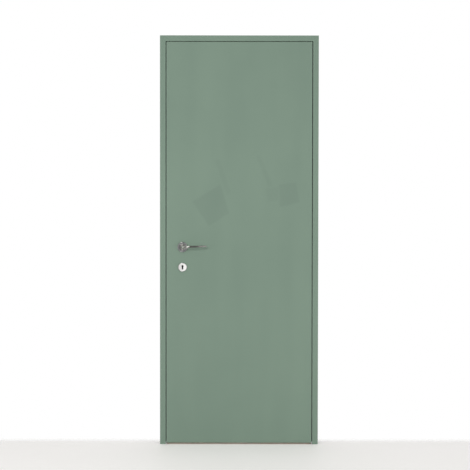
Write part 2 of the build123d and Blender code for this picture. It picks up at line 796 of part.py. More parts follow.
def lever():
    """The front lever, from its collar in the rose round the bend to the tip, about its axis."""
    front_y = depth(0) - lever_stand_off
    bend_y = front_y + lever_bend
    collar_y = depth(0) - rose_height - collar_height
    collar = rod_y(0, 0, neck_radius, (collar_y, depth(0) - 1))
    shank = 2 * shank_radius
    sections = [
        lever_section(0, collar_y + collar_height / 2, 0, 0, shank, shank),
        lever_section(0, (bend_y + collar_y) / 2, 0, 0, shank, shank),
        lever_section(0, bend_y, 0, 0, shank, shank),
    ]
    for share in (1 / 3, 2 / 3, 1):
        turn = radians(90 * share)
        x = lever_bend * (1 - cos(turn))
        y = bend_y - lever_bend * sin(turn)
        height = shank + (lever_root_height - shank) * share
        width = shank + (lever_root_depth - shank) * share
        sections.append(lever_section(x, y, lever_lift * share, 90 * share, height, width))
    arm = lever_reach - lever_bend
    for share, size in ((1 / 4, 1), (1 / 2, 1), (3 / 4, 1), *lever_tip_stations):
        height = lever_root_height + (lever_tip_height - lever_root_height) * share
        width = lever_root_depth + (lever_tip_depth - lever_root_depth) * share
        x = lever_bend + arm * share
        y = front_y + lever_return * share * share
        z = lever_lift + (lever_rise - lever_lift) * share
        sections.append(lever_section(x, y, z, 90, height * size, width * size))
    return collar + loft(sections)


def lever_pair():
    """Both levers, their spindle and the grub screws that grip it."""
    side = spindle_side + 2 * spindle_room
    end = depth(0) - lever_socket
    socket = block((-side / 2, side / 2), (end, depth(0) + 1), (-side / 2, side / 2))
    grub_y = depth(0) - rose_height - collar_height - grub_radius - grub_above_collar
    grub_hole = rod_z(0, grub_y, grub_radius, (-neck_radius - 2, 0))
    front = lever() - socket - grub_hole
    grub = rod_z(0, grub_y, grub_radius, (-shank_radius + grub_sink, -spindle_side / 2))
    place = Pos(lever_x, 0, lever_height)
    save("lever_front", place * front)
    save("lever_back", place * mirror(front, about=Plane.XZ))
    save("grub_screws", place * grub, place * mirror(grub, about=Plane.XZ))
    half = spindle_side / 2
    spindle = block((-half, half), (end + 1, -end - 1), (-half, half))
    save("spindle", place * spindle)


def pressed_cup(radius, height, hole_radius):
    """A round pressed cover: a turned skin, open at the back, with a hole in its middle."""
    body = Cylinder(radius, height, align=(Align.CENTER, Align.CENTER, Align.MIN))
    body = fillet(body.edges().sort_by(Axis.Z)[-1], rose_round)
    inner = (radius - rose_wall, height - rose_wall)
    body -= Cylinder(*inner, align=(Align.CENTER, Align.CENTER, Align.MIN))
    return body - Cylinder(hole_radius, 4 * height)


def roses():
    """The cover round each lever's neck, and the plate under it that holds it to the leaf."""
    towards_viewer = Pos(lever_x, depth(0), lever_height) * Rot(90, 0, 0)
    cover = towards_viewer * pressed_cup(rose_radius, rose_height, neck_radius + neck_room)
    plate_radius = rose_radius - rose_wall - mortise_room
    plate = Cylinder(plate_radius, rose_height - rose_wall, align=(Align.CENTER, Align.CENTER, Align.MIN))
    plate -= Cylinder(spindle_hole_radius, 4 * rose_height)
    plate = towards_viewer * plate
    save("rose_front", cover)
    save("rose_back", mirror(cover, about=Plane.XZ))
    save("rose_plates", plate, mirror(plate, about=Plane.XZ))


def escutcheons():
    """The polished disc round each keyhole."""
    disc = Cylinder(escutcheon_radius, escutcheon_height, align=(Align.CENTER, Align.CENTER, Align.MIN))
    disc = fillet(disc.edges().sort_by(Axis.Z)[-1], rose_round)
    disc = Pos(lever_x, depth(0), key_height) * Rot(90, 0, 0) * disc
    disc -= keyhole((depth(0) - escutcheon_height - 1, depth(0) + 1))
    save("escutcheon_front", disc)
    save("escutcheon_back", mirror(disc, about=Plane.XZ))


def corner_cleats():
    """The angles in both corners of the frame."""
    cleat = corner_cleat()
    save("corner_cleats", cleat, mirror(cleat, about=Plane.YZ))


frame_bars()
stops()
corner_cleats()
seals()
hinges()
save("leaf_front_skin", skin(True))
save("leaf_back_skin", skin(False))
leaf_wood()
lock_bodies()
latch_bolt()
deadbolt()
follower()
strike()
lever_pair()
roses()
escutcheons()
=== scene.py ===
import json
import math

import bmesh
import bpy
from mathutils import Matrix, Vector


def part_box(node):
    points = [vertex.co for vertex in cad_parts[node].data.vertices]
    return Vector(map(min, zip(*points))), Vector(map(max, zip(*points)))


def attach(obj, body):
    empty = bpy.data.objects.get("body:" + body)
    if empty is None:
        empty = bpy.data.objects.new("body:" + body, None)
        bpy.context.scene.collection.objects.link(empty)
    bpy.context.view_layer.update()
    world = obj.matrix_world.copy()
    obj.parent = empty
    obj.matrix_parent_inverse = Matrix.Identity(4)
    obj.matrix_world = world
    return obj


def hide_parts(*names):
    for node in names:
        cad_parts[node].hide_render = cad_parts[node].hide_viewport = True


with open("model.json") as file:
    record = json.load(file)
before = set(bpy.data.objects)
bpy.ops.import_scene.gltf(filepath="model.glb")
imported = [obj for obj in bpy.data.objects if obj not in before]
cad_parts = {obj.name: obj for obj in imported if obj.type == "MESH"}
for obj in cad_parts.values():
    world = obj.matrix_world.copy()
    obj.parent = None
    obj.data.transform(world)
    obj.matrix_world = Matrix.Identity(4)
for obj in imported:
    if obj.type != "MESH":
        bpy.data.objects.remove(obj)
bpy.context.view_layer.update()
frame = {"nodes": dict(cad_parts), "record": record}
scene = bpy.context.scene
scene.view_settings.view_transform = "Standard"

# The place. A pale matt floor that fades out at the door's plane, a white surround behind it, and
# the viewer five metres off at a little over a metre. Polished metal mirrors a dim room in front,
# with a tall bright window on the left and a small one low behind the viewer.

picture_width = 470
camera_distance = 5.0
camera_height = 1.1938
camera_side = -0.0219
camera_pitch = math.radians(1.088)
camera_roll = math.radians(-0.071)
focal_pixels = 956.1
nearest_seen = 0.05
leaf_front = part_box("leaf_front_skin")[0].y

camera_data = bpy.data.cameras.new("door_camera")
camera_data.lens = focal_pixels * camera_data.sensor_width / picture_width
camera_data.clip_start = nearest_seen
camera = bpy.data.objects.new("door_camera", camera_data)
scene.collection.objects.link(camera)
camera.location = (camera_side, leaf_front - camera_distance, camera_height)
camera.rotation_euler = (math.pi / 2 - camera_pitch, camera_roll, 0)
scene.camera = camera


def rgb(red, green, blue):
    """A linear colour from its values on screen, 0 to 255."""
    shares = (red / 255, green / 255, blue / 255)
    return (*[s / 12.92 if s <= 0.04045 else ((s + 0.055) / 1.055) ** 2.4 for s in shares], 1.0)


def feed(tree, made, inputs):
    """Give a node's inputs, by name or number, a value or a link to another node's output."""
    for key, source in inputs.items():
        if isinstance(source, bpy.types.NodeSocket):
            tree.links.new(source, made.inputs[key])
        else:
            made.inputs[key].default_value = source


def node(tree, kind, inputs=None, **settings):
    """A new shader node with its settings and its inputs."""
    made = tree.nodes.new(kind)
    for key, value in settings.items():
        setattr(made, key, value)
    feed(tree, made, inputs or {})
    return made


def reckon(tree, operation, first, second=0.0):
    """The result of one sum."""
    return node(tree, "ShaderNodeMath", {0: first, 1: second}, operation=operation).outputs[0]


def rise(tree, value, low, high, start=0.0, end=1.0):
    """A value that goes smoothly from start to end while another goes from low to high."""
    inputs = {"Value": value, "From Min": low, "From Max": high, "To Min": start, "To Max": end}
    return node(tree, "ShaderNodeMapRange", inputs, interpolation_type="SMOOTHSTEP").outputs["Result"]


def blend(tree, factor, first, second, kind="RGBA", **settings):
    """A colour between two others, or a value or a normal between two."""
    inlet, outlet = {"RGBA": (6, 2), "VECTOR": (4, 1), "FLOAT": (2, 0)}[kind]
    inputs = {0: factor, inlet: first, inlet + 1: second}
    return node(tree, "ShaderNodeMix", inputs, data_type=kind, **settings).outputs[outlet]


def fine_noise(tree, vector, scale, detail=3.0, roughness=0.6):
    """Noise between 0 and 1. Its scale is the number of blotches to a metre."""
    inputs = {"Vector": vector, "Scale": scale, "Detail": detail, "Roughness": roughness}
    return node(tree, "ShaderNodeTexNoise", inputs).outputs[0]


def place(tree):
    """Where a point of the piece lies."""
    return node(tree, "ShaderNodeTexCoord").outputs["Object"]


def split(tree, vector):
    """The X, Y and Z of a place or a direction."""
    return node(tree, "ShaderNodeSeparateXYZ", {0: vector}).outputs


def new_finish(name):
    """A new material: itself, its node tree and its surface shader."""
    made = bpy.data.materials.new(name)
    made.use_nodes = True
    return made, made.node_tree, made.node_tree.nodes["Principled BSDF"]


def new_piece(name, form):
    """A new object with the mesh of a finished form."""
    mesh = bpy.data.meshes.new(name)
    form.to_mesh(mesh)
    form.free()
    piece = bpy.data.objects.new(name, mesh)
    scene.collection.objects.link(piece)
    return piece


floor_tones = (rgb(238, 236, 233), rgb(242, 240, 238))
floor_roughness = 0.6
floor_scale = 1.5
floor_glow = 0.2
floor_size = 2.5
floor_fade = (1.35, 2.3)
floor_back = (leaf_front + 0.03, leaf_front + 0.14)
shade_side = (0.38, 0.39)
shade_front = (leaf_front - 0.001, leaf_front + 0.001)

form = bmesh.new()
bmesh.ops.create_grid(form, x_segments=1, y_segments=1, size=floor_size)
floor = new_piece("floor", form)
pale_floor, tree, shader = new_finish("pale_floor")
spot = place(tree)
east, north, _ = split(tree, spot)
tone = blend(tree, fine_noise(tree, spot, floor_scale, 2.0, 0.5), *floor_tones)
rays = node(tree, "ShaderNodeLightPath").outputs

# The floor glows a little for the viewer, but not in the shade under the leaf. It is gone past its
# far edge and behind the door, and metal mirrors the surround instead of it.
shaded = rise(tree, reckon(tree, "ABSOLUTE", east), *shade_side, 1.0, 0.0)
shaded = reckon(tree, "MULTIPLY", shaded, rise(tree, north, *shade_front))
glow = reckon(tree, "MULTIPLY", rays["Is Camera Ray"], rise(tree, shaded, 0.0, 1.0, floor_glow, 0.0))
away = node(tree, "ShaderNodeVectorMath", {0: spot}, operation="LENGTH").outputs["Value"]
gone = reckon(tree, "MAXIMUM", rise(tree, away, *floor_fade), rise(tree, north, *floor_back))
gone = reckon(tree, "MAXIMUM", gone, rays["Is Glossy Ray"])
feed(tree, shader, {
    "Base Color": tone,
    "Roughness": floor_roughness,
    "Emission Color": tone,
    "Emission Strength": glow,
    "Alpha": reckon(tree, "SUBTRACT", 1.0, gone),
})
floor.data.materials.append(pale_floor)


def patch(tree, turn, lift, sides, heights, edge):
    """1 inside an upright patch of the surround, soft at the edges. Sides and heights in degrees."""
    inside = 1.0
    for angle, (low, high) in ((turn, sides), (lift, heights)):
        above = rise(tree, angle, math.radians(low - edge), math.radians(low + edge))
        below = rise(tree, angle, math.radians(high - edge), math.radians(high + edge), 1.0, 0.0)
        inside = reckon(tree, "MULTIPLY", inside, reckon(tree, "MULTIPLY", above, below))
    return inside


# What metal mirrors. Each row is a patch: from and to in degrees right of straight behind the
# viewer, from and to in degrees above level, the softness of its edge, and its brightness.
ambient_level = 0.62
room_level = 0.55
room = (
    ((-80, -9), (-24, 10), 3, 0.16),  # dark curtain
    ((-180, 180), (-90, -38), 6, 0.12),  # dark floor
    ((-180, 180), (60, 95), 5, 0.15),  # dark ceiling
    ((0, 9), (-60, 95), 1.5, 0.04),  # dark doorway
    ((-1, 10), (-19, -9), 3, 0.30),  # lit panel
    ((-30, -12), (26, 70), 3, 2.4),  # tall window
    ((-30, -12), (-76, -30), 3, 1.6),  # its light on the floor
    ((-75, -38), (-80, 80), 4, 0.30),  # dim side on the left
    ((-3.3, -2.2), (-3.9, -2.3), 0.35, 1.05),  # small window
    ((100, 180), (-40, 55), 8, 1.0),  # white surround behind the door, right half
    ((-180, -100), (-40, 55), 8, 1.0),  # and left half
)

world = bpy.data.worlds.new("soft_surround")
world.use_nodes = True
scene.world = world
tree = world.node_tree
east, north, up = split(tree, node(tree, "ShaderNodeTexCoord").outputs["Generated"])
turn = reckon(tree, "ARCTAN2", east, reckon(tree, "MULTIPLY", north, -1.0))
lift = reckon(tree, "ARCSINE", up)
mirrored = room_level
for sides, heights, edge, brightness in room:
    inside = patch(tree, turn, lift, sides, heights, edge)
    step = reckon(tree, "MULTIPLY", reckon(tree, "SUBTRACT", brightness, mirrored), inside)
    mirrored = reckon(tree, "ADD", mirrored, step)
rays = node(tree, "ShaderNodeLightPath").outputs
clear = reckon(tree, "MAXIMUM", rays["Is Camera Ray"], rays["Is Transmission Ray"])
level = rise(tree, clear, 0.0, 1.0, ambient_level, 1.0)
glossy = reckon(tree, "MULTIPLY", rays["Is Glossy Ray"], reckon(tree, "SUBTRACT", mirrored, ambient_level))
feed(tree, tree.nodes["Background"], {
    "Color": (1, 1, 1, 1),
    "Strength": reckon(tree, "ADD", level, glossy),
})

# Three large soft square lamps in front of the door. No metal mirrors them.
for name, stand, aim, size, power in (
    ("front_key", (-0.5, -3.4, 1.85), (0, 0, 1.0), 0.5, 32),
    ("soft_left", (-2.4, -2.9, 0.9), (0, 0, 0.6), 1.6, 15),
    ("soft_right", (2.4, -2.9, 0.8), (0, 0, 0.5), 1.4, 16),
):
    lamp_data = bpy.data.lights.new(name, "AREA")
    lamp_data.size = size
    lamp_data.energy = power
    lamp = bpy.data.objects.new(name, lamp_data)
    scene.collection.objects.link(lamp)
    lamp.location = stand
    lamp.rotation_euler = (Vector(aim) - Vector(stand)).to_track_quat("-Z", "Y").to_euler()
    lamp.visible_glossy = False


# The frame: two jambs and a head, each an aluminium extrusion cut to length and mitred. The front
# band is rolled with the same matt sage green as the leaf. The faces towards the leaf and those
# that are built in stay bare.

nodes = frame["nodes"]
record = frame["record"]
body_of = {name: body for body, names in record["behaviour"]["bodies"].items() for name in names}
paint_tones = (rgb(119, 140, 125), rgb(125, 146, 130))
paint_gloss = (0.56, 0.68)
mottle_scale = 1.6
lap_stretch = (5.0, 5.0, 0.8)
stipple_scale = 360.0
stipple_depth = 0.0004
gap_shade_tone = rgb(52, 58, 54)
gap_shade_width = 0.0012
gap_shade_share = 0.6
aluminium_tones = (rgb(172, 174, 175), rgb(196, 197, 198))
aluminium_gloss = (0.30, 0.45)
line_depth = 0.00004
upright_grain = (600.0, 600.0, 3.0)
level_grain = (3.0, 600.0, 600.0)
paint_edge = 0.0006
ragged_scale = 160.0
ragged_width = 0.0012
noise_core = (0.3, 0.7)
noise_span = (0.2, 0.8)
frame_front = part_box("frame_head")[0].y
jamb_face = -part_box("jamb_lock_side")[1].x


def finish_nodes(made, *names):
    """Give CAD pieces their material."""
    for name in names:
        for slot in nodes[name].material_slots:
            slot.material = made


def effect_group(name, inputs, outputs):
    """A node group for an effect that several finishes share, with its inlet and outlet."""
    group = bpy.data.node_groups.new(name, "ShaderNodeTree")
    for socket_name, kind, value in inputs:
        socket = group.interface.new_socket(socket_name, in_out="INPUT", socket_type=kind)
        socket.default_value = value
    for socket_name, kind in outputs:
        group.interface.new_socket(socket_name, in_out="OUTPUT", socket_type=kind)
    return group, node(group, "NodeGroupInput").outputs, node(group, "NodeGroupOutput")


def grouped(tree, group, **inputs):
    """The outputs of an effect group placed in a material."""
    return node(tree, "ShaderNodeGroup", inputs, node_tree=group).outputs


def stretched(tree, vector, factors):
    """A place with its X, Y and Z multiplied, which draws a pattern out along the smallest."""
    return node(tree, "ShaderNodeVectorMath", {0: vector, 1: factors}, operation="MULTIPLY").outputs[0]


def bumped(tree, height, strength, distance):
    """The normal of a surface with that relief, its depth in metres."""
    inputs = {"Height": height, "Strength": strength, "Distance": distance}
    return node(tree, "ShaderNodeBump", inputs).outputs[0]


rolled_paint, inlet, outlet = effect_group(
    "rolled_paint",
    [("Stipple", "NodeSocketFloat", 0.3)],
    [("Color", "NodeSocketColor"), ("Roughness", "NodeSocketFloat"), ("Normal", "NodeSocketVector")],
)
spot = place(rolled_paint)
drift = fine_noise(rolled_paint, spot, mottle_scale)
lap = fine_noise(rolled_paint, stretched(rolled_paint, spot, lap_stretch), 1.0, 2.0)
mottle = reckon(rolled_paint, "MULTIPLY", reckon(rolled_paint, "ADD", drift, lap), 0.5)
stipple = fine_noise(rolled_paint, spot, stipple_scale)
feed(rolled_paint, outlet, {
    "Color": blend(rolled_paint, rise(rolled_paint, mottle, *noise_core), *paint_tones),
    "Roughness": rise(rolled_paint, stipple, *noise_span, *paint_gloss),
    "Normal": bumped(rolled_paint, stipple, inlet["Stipple"], stipple_depth),
})

# Painted shade: paint close to the gap round the leaf is darkened towards a dark green.
gap_shade, inlet, outlet = effect_group(
    "painted_shade_at_the_gap",
    [("Color", "NodeSocketColor", (0.5, 0.5, 0.5, 1.0)), ("Inset", "NodeSocketFloat", 1.0)],
    [("Color", "NodeSocketColor")],
)
close = rise(gap_shade, inlet["Inset"], gap_shade_width / 3, gap_shade_width, gap_shade_share, 0.0)
feed(gap_shade, outlet, {"Color": blend(gap_shade, close, inlet["Color"], gap_shade_tone)})

drawn_lines, inlet, outlet = effect_group(
    "drawn_lines",
    [("Grain", "NodeSocketVector", upright_grain), ("Depth", "NodeSocketFloat", 0.3)],
    [("Streak", "NodeSocketFloat"), ("Normal", "NodeSocketVector")],
)
streak = fine_noise(drawn_lines, stretched(drawn_lines, place(drawn_lines), inlet["Grain"]), 1.0, 4.0)
feed(drawn_lines, outlet, {
    "Streak": streak,
    "Normal": bumped(drawn_lines, streak, inlet["Depth"], line_depth),
})


def profile_finish(name, grain, shade_the_gap):
    """Drawn aluminium, painted on the front band, with painted shade at the edge beside the leaf."""
    made, tree, shader = new_finish(name)
    spot = place(tree)
    east, north, _ = split(tree, spot)
    paint = grouped(tree, rolled_paint, Stipple=0.3)
    metal = grouped(tree, drawn_lines, Grain=grain, Depth=0.5)
    ragged = reckon(tree, "MULTIPLY", fine_noise(tree, spot, ragged_scale), ragged_width)
    from_front = reckon(tree, "SUBTRACT", reckon(tree, "SUBTRACT", north, frame_front), ragged)
    bare = rise(tree, from_front, paint_edge / 2, paint_edge)
    inset = reckon(tree, "SUBTRACT", reckon(tree, "ABSOLUTE", east), jamb_face) if shade_the_gap else 1.0
    # The jamb's front band gets painted shade close to the gap beside the leaf.
    painted = grouped(tree, gap_shade, Color=paint["Color"], Inset=inset)["Color"]
    alloy = blend(tree, metal["Streak"], *aluminium_tones)
    gloss = rise(tree, metal["Streak"], *noise_span, *aluminium_gloss)
    feed(tree, shader, {
        "Base Color": blend(tree, bare, painted, alloy),
        "Metallic": bare,
        "Roughness": blend(tree, bare, paint["Roughness"], gloss, "FLOAT"),
        "Normal": blend(tree, bare, paint["Normal"], metal["Normal"], "VECTOR"),
    })
    return made


painted_jamb = profile_finish("painted_jamb", upright_grain, shade_the_gap=True)
painted_head = profile_finish("painted_head", level_grain, shade_the_gap=False)
finish_nodes(painted_jamb, "jamb_hinge_side", "jamb_lock_side")
finish_nodes(painted_head, "frame_head")


# The stop strips that the closed leaf comes up to, three lengths of drawn aluminium pressed into
# the frame, and in each a length of soft black extruded rubber.

strip_gloss = (0.32, 0.46)
rubber_tones = (rgb(24, 24, 25), rgb(44, 44, 45))
rubber_gloss = (0.55, 0.8)
bloom_scale = 60.0
rubber_scale = 2500.0
rubber_relief = (0.3, 0.00003)


def drawn_metal(name, tones, gloss, grain, depth=0.4):
    """Bare metal with the fine lines of its drawing, rolling or brushing."""
    made, tree, shader = new_finish(name)
    lines = grouped(tree, drawn_lines, Grain=grain, Depth=depth)
    feed(tree, shader, {
        "Base Color": blend(tree, lines["Streak"], *tones),
        "Roughness": rise(tree, lines["Streak"], *noise_span, *gloss),
        "Normal": lines["Normal"],
        "Metallic": 1.0,
    })
    return made


upright_strip = drawn_metal("anodised_strip", aluminium_tones, strip_gloss, upright_grain)
level_strip = drawn_metal("anodised_strip_level", aluminium_tones, strip_gloss, level_grain)
finish_nodes(upright_strip, "stop_hinge_side", "stop_lock_side")
finish_nodes(level_strip, "stop_head")

rubber, tree, shader = new_finish("black_rubber")
spot = place(tree)
bloom = fine_noise(tree, spot, bloom_scale, 4.0)
feed(tree, shader, {
    "Base Color": blend(tree, bloom, *rubber_tones),
    "Roughness": rise(tree, bloom, *noise_core, *rubber_gloss),
    "Normal": bumped(tree, fine_noise(tree, spot, rubber_scale), *rubber_relief),
})
finish_nodes(rubber, "seal_hinge_side", "seal_lock_side", "seal_head")


# The angles in the frame's two upper corners, sawn from thick aluminium. Jambs and head are pushed
# over them, so that they hold the mitres closed.

sawn_gloss = (0.4, 0.6)
sawn_grain = (40.0, 700.0, 40.0)
sawn_aluminium = drawn_metal("sawn_aluminium", aluminium_tones, sawn_gloss, sawn_grain, depth=0.8)
finish_nodes(sawn_aluminium, "corner_cleats")


# The three concealed hinges. Bodies and arms are die castings with a satin finish and slightly
# rounded edges, the pins are bright steel, and the countersunk screws and the plates behind the
# jamb are zinc-plated steel.

casting_tones = (rgb(150, 149, 146), rgb(178, 177, 173))
casting_gloss = (0.30, 0.44)
wear_scale = 45.0
casting_scale = 900.0
casting_relief = (0.35, 0.00005)
easing = 0.0004
easing_angle = math.radians(35)
same_point = 0.000002
one_plane = math.radians(1)
flat_area = 0.00002


def merged_form(name):
    """A CAD piece's shape with its doubled corners merged and its flat faces whole."""
    form = bmesh.new()
    form.from_mesh(nodes[name].data)
    bmesh.ops.remove_doubles(form, verts=form.verts, dist=same_point)
    bmesh.ops.dissolve_limit(form, angle_limit=one_plane, verts=form.verts, edges=form.edges)
    return form


def take_place(name, form, made, suffix):
    """A finished form as a piece in place of the CAD one. Its large faces are shaded flat."""
    for face in form.faces:
        face.smooth = face.calc_area() < flat_area
    piece = new_piece(f"{name}_{suffix}", form)
    piece.data.materials.append(made)
    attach(piece, body_of[name])
    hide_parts(name)
    return piece


def eased_copy(name, made, width=easing):
    """The same piece with its sharp edges a little rounded, in place of the CAD one."""
    piece = take_place(name, merged_form(name), made, "eased")
    rounding = piece.modifiers.new("rounded_edges", "BEVEL")
    rounding.width = width
    rounding.segments = 2
    rounding.limit_method = "ANGLE"
    rounding.angle_limit = easing_angle
    rounding.use_clamp_overlap = False
    rounding.harden_normals = True


casting, tree, shader = new_finish("satin_casting")
spot = place(tree)
wear = fine_noise(tree, spot, wear_scale, 5.0)
feed(tree, shader, {
    "Base Color": blend(tree, wear, *casting_tones),
    "Roughness": rise(tree, wear, *noise_core, *casting_gloss),
    "Normal": bumped(tree, fine_noise(tree, spot, casting_scale), *casting_relief),
    "Metallic": 1.0,
})
for height in ("bottom", "middle", "top"):
    for name in ("hinge_frame_body", "hinge_leaf_body", "frame_long_arm", "leaf_long_arm"):
        eased_copy(f"{name}_{height}", casting)
eased_copy("frame_short_arms", casting)
eased_copy("leaf_short_arms", casting)

steel_tones = (rgb(150, 151, 153), rgb(185, 186, 188))
steel_gloss = (0.18, 0.3)
turned_grain = (300.0, 300.0, 40.0)
bright_steel = drawn_metal("bright_steel", steel_tones, steel_gloss, turned_grain, depth=0.3)
finish_nodes(bright_steel, "hinge_frame_pins", "hinge_leaf_pins", "frame_arm_pins", "leaf_arm_pins")

zinc_tones = (rgb(150, 155, 160), rgb(178, 181, 184))
zinc_gloss = (0.28, 0.42)
spangle_scale = 260.0
zinc_scale = 700.0
zinc_relief = (0.2, 0.00004)
zinc, tree, shader = new_finish("zinc_plate")
spot = place(tree)
spangle = node(tree, "ShaderNodeTexVoronoi", {"Vector": spot, "Scale": spangle_scale}).outputs["Color"]
flake = node(tree, "ShaderNodeSeparateColor", {0: spangle}).outputs["Red"]
feed(tree, shader, {
    "Base Color": blend(tree, flake, *zinc_tones),
    "Roughness": rise(tree, flake, 0.0, 1.0, *zinc_gloss),
    "Normal": bumped(tree, fine_noise(tree, spot, zinc_scale), *zinc_relief),
    "Metallic": 1.0,
})
finish_nodes(zinc, "hinge_frame_screws", "hinge_leaf_screws", "hinge_backing_plates")


# The leaf's inside. Stiles, rails and the block beside the lock are planed softwood glued up into
# a frame, and a board of pressed chips with long round hollows fills it. The outer edges and the
# top take the leaf's paint.

half_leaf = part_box("leaf_front_skin")[1].x
leaf_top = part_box("leaf_front_skin")[1].z
coat = 0.0003
wood_tones = (rgb(219, 190, 146), rgb(189, 150, 101))
wood_roughness = 0.62
wood_relief = (0.4, 0.0001)
sway_scale = 0.35
sway_reach = 14.0
ring_scale = 0.6
ring_share = 0.7
pore_scale = 9.0
upright_rings = (60.0, 60.0, 3.0)
level_rings = (3.0, 60.0, 60.0)
chip_tones = (rgb(160, 125, 84), rgb(214, 184, 138))
chip_roughness = 0.8
chip_scale = 190.0
chip_stretch = (1.0, 2.2, 1.0)
chip_relief = (0.6, 0.0004)

wood_grain, inlet, outlet = effect_group(
    "wood_grain",
    [("Grain", "NodeSocketVector", upright_rings)],
    [("Color", "NodeSocketColor"), ("Normal", "NodeSocketVector")],
)
along = stretched(wood_grain, place(wood_grain), inlet["Grain"])
sway = reckon(wood_grain, "MULTIPLY", fine_noise(wood_grain, along, sway_scale, 2.0), sway_reach)
waves = {"Vector": along, "Scale": ring_scale, "Distortion": sway, "Detail": 2.0}
rings = node(wood_grain, "ShaderNodeTexWave", waves).outputs["Fac"]
pores = fine_noise(wood_grain, along, pore_scale, 4.0)
growth = reckon(
    wood_grain, "ADD",
    reckon(wood_grain, "MULTIPLY", rings, ring_share),
    reckon(wood_grain, "MULTIPLY", pores, 1.0 - ring_share),
)
feed(wood_grain, outlet, {
    "Color": blend(wood_grain, growth, *wood_tones),
    "Normal": bumped(wood_grain, growth, *wood_relief),
})


def wood_finish(name, grain):
    """Planed softwood, painted where it is the leaf's outer edge."""
    made, tree, shader = new_finish(name)
    east, _, up = split(tree, place(tree))
    wood = grouped(tree, wood_grain, Grain=grain)
    paint = grouped(tree, rolled_paint, Stipple=0.25)
    beside = rise(tree, reckon(tree, "ABSOLUTE", east), half_leaf - 2 * coat, half_leaf - coat)
    painted = reckon(tree, "MAXIMUM", beside, rise(tree, up, leaf_top - 2 * coat, leaf_top - coat))
    feed(tree, shader, {
        "Base Color": blend(tree, painted, wood["Color"], paint["Color"]),
        "Roughness": wood_roughness,
        "Normal": blend(tree, painted, wood["Normal"], paint["Normal"], "VECTOR"),
    })
    return made


upright_wood = wood_finish("softwood_upright", upright_rings)
level_wood = wood_finish("softwood_level", level_rings)
finish_nodes(upright_wood, "hinge_stile", "lock_stile", "lock_block")
finish_nodes(level_wood, "top_rail", "bottom_rail")

chips, tree, shader = new_finish("pressed_chips")
laid = stretched(tree, place(tree), chip_stretch)
chip = node(tree, "ShaderNodeTexVoronoi", {"Vector": laid, "Scale": chip_scale}).outputs
shade = node(tree, "ShaderNodeSeparateColor", {0: chip["Color"]}).outputs["Red"]
feed(tree, shader, {
    "Base Color": blend(tree, shade, *chip_tones),
    "Roughness": chip_roughness,
    "Normal": bumped(tree, chip["Distance"], *chip_relief),
})
finish_nodes(chips, "core_panel")


# The leaf's two faces, thin hardboards glued over the frame and the core. Their outer sides are
# rolled with matt sage green, and the front has a few faint darker patches. Their inner sides are
# bare brown board.

leaf_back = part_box("leaf_back_skin")[1].y
board_coat = 0.0035
board_tones = (rgb(122, 86, 56), rgb(150, 110, 74))
fibre_scale = 300.0
patchy_scale = 9.0
patchy_share = (0.7, 1.0)
patch_darkening = (0.93, 0.93, 0.9393, 1.0)

# Each darker patch has its four corners, clockwise, as X and Z, the softness of its edge, and its
# share of the full darkening.
front_dark_patches = (
    (((-0.244, 1.274), (-0.098, 1.363), (-0.053, 1.214), (-0.158, 1.146)), 0.012, 1.0),
    (((0.208, 1.363), (0.297, 1.373), (0.315, 1.271), (0.213, 1.245)), 0.012, 1.0),
    (((-0.128, 1.490), (-0.104, 1.496), (-0.044, 1.320), (-0.066, 1.312)), 0.016, 0.6),
    (((0.087, 1.511), (0.108, 1.514), (0.176, 1.355), (0.155, 1.349)), 0.016, 0.6),
    (((0.135, 1.340), (0.205, 1.350), (0.205, 1.285), (0.150, 1.272)), 0.016, 0.6),
)


def four_cornered(tree, east, up, corners, edge):
    """1 inside a four-cornered patch with the given corners."""
    inside = 1.0
    for start, end in zip(corners, corners[1:] + corners[:1]):
        run = Vector(end) - Vector(start)
        normal = Vector((run.y, -run.x)).normalized()
        offset = normal.dot(Vector(start))
        sideways = reckon(tree, "MULTIPLY", east, normal.x)
        upwards = reckon(tree, "MULTIPLY", up, normal.y)
        past = rise(tree, reckon(tree, "ADD", sideways, upwards), offset - edge / 2, offset + edge / 2)
        inside = reckon(tree, "MULTIPLY", inside, past)
    return inside


def board_finish(name, outer, inward, dark_patches):
    """A painted face board with a bare inner side. Inward is 1 where inwards is towards +Y."""
    made, tree, shader = new_finish(name)
    spot = place(tree)
    east, north, up = split(tree, spot)
    paint = grouped(tree, rolled_paint, Stipple=0.35)
    # The front's paint is darkened a little, patchily, inside each of these patches.
    darkened = 0.0
    for corners, edge, share in dark_patches:
        covered = reckon(tree, "MULTIPLY", four_cornered(tree, east, up, corners, edge), share)
        darkened = reckon(tree, "MAXIMUM", darkened, covered)
    cover = rise(tree, fine_noise(tree, spot, patchy_scale), *noise_span, *patchy_share)
    patchy = reckon(tree, "MULTIPLY", darkened, cover)
    deeper = blend(tree, patchy, paint["Color"], patch_darkening, blend_type="MULTIPLY")
    inset = reckon(tree, "SUBTRACT", half_leaf, reckon(tree, "ABSOLUTE", east))
    # The paint near the leaf's upright edges gets painted shade close to the gap.
    painted = grouped(tree, gap_shade, Color=deeper, Inset=inset)["Color"]
    depth = reckon(tree, "MULTIPLY", reckon(tree, "SUBTRACT", north, outer), inward)
    bare = rise(tree, depth, board_coat, board_coat + coat)
    board = blend(tree, fine_noise(tree, spot, fibre_scale, 5.0), *board_tones)
    feed(tree, shader, {
        "Base Color": blend(tree, bare, painted, board),
        "Roughness": paint["Roughness"],
        "Normal": paint["Normal"],
    })
    return made


front_board = board_finish("painted_front_board", leaf_front, 1.0, front_dark_patches)
back_board = board_finish("painted_back_board", leaf_back, -1.0, ())
finish_nodes(front_board, "leaf_front_skin")
finish_nodes(back_board, "leaf_back_skin")


# The mortise lock, let into the closing edge and held by two screws through its faceplate. Case,
# cover and hub are zinc-plated steel, the faceplate is brushed steel, the deadbolt bright steel
# and the latch bolt black plastic, so that it closes quietly.

